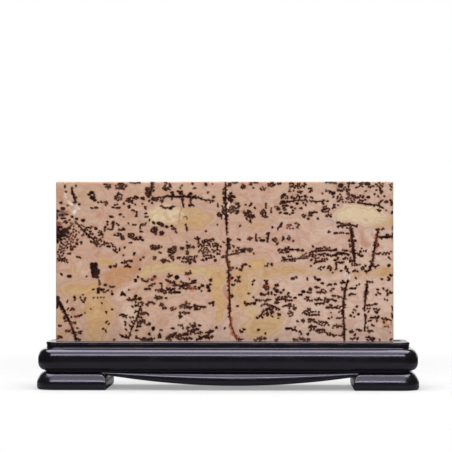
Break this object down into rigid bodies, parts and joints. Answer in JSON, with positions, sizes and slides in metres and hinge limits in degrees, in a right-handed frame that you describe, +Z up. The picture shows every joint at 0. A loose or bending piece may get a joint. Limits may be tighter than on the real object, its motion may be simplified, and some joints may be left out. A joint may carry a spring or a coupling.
{
  "type": "picture stone",
  "caption": "Polished rectangular slab of dendritic limestone standing upright in the groove of a low black lacquered wood stand with moulded feet and hanging aprons.",
  "frame": {"origin": "middle of the stand on the surface that its feet stand on", "axes": "+X along the slab, to the right as its front is seen; the front faces -Y; +Z up"},
  "size_m": [0.337, 0.07, 0.1835],
  "materials": {
    "stone": "polished dendritic limestone, pink and ochre with dark brown dendrites",
    "lacquer": "black lacquer, semi-gloss"
  },
  "bodies": {
    "root": {"picture_stone": "stone", "stand_board": "lacquer", "foot_left": "lacquer", "foot_right": "lacquer", "apron_front": "lacquer", "apron_back": "lacquer"}
  },
  "joints": []
}
